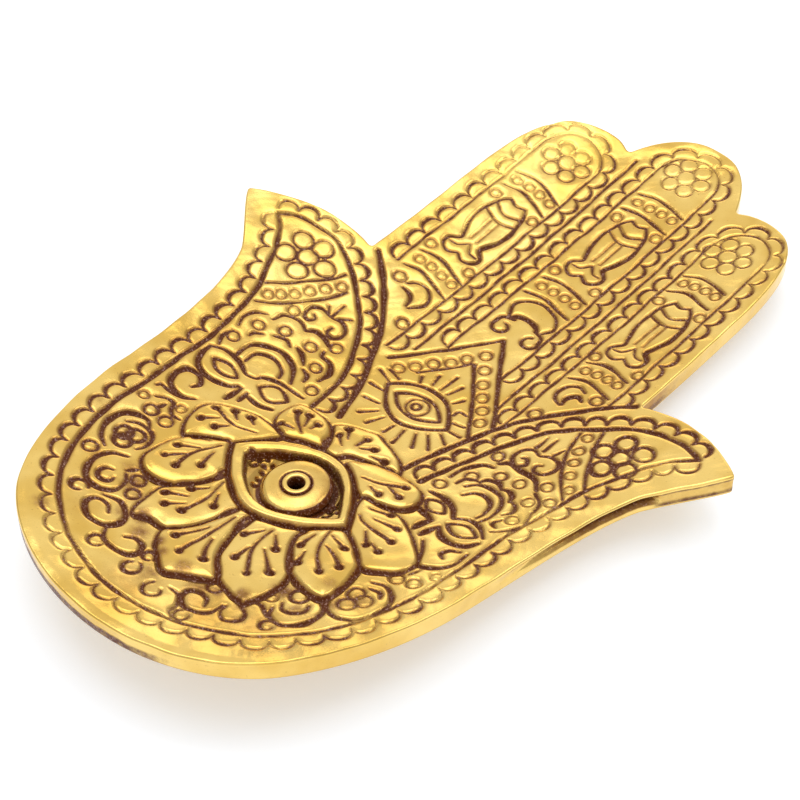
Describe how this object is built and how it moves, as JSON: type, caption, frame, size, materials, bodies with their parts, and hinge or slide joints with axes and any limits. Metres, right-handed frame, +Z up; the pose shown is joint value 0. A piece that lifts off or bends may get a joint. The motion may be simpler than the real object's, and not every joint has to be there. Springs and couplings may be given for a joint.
{
  "type": "incense holder",
  "caption": "Dished metal hamsa hand with a carved lotus and eye, whose pupil holds an incense stick so that its ash falls in the palm.",
  "frame": {"origin": "middle of the hand's plan, on the surface that it rests on", "axes": "+Y from the heel of the hand to the fingertips, +Z up out of the palm"},
  "size_m": [0.11, 0.1606, 0.0167],
  "materials": {
    "gold_casting": "cast metal with a satin gold finish, dark brown patina left in the carving, polished rim",
    "gold_sleeve": "turned metal with a polished gold finish"
  },
  "bodies": {
    "root": {"hand_dish": "gold_casting", "iris_plug": "gold_casting", "stick_sleeve": "gold_sleeve"}
  },
  "joints": []
}
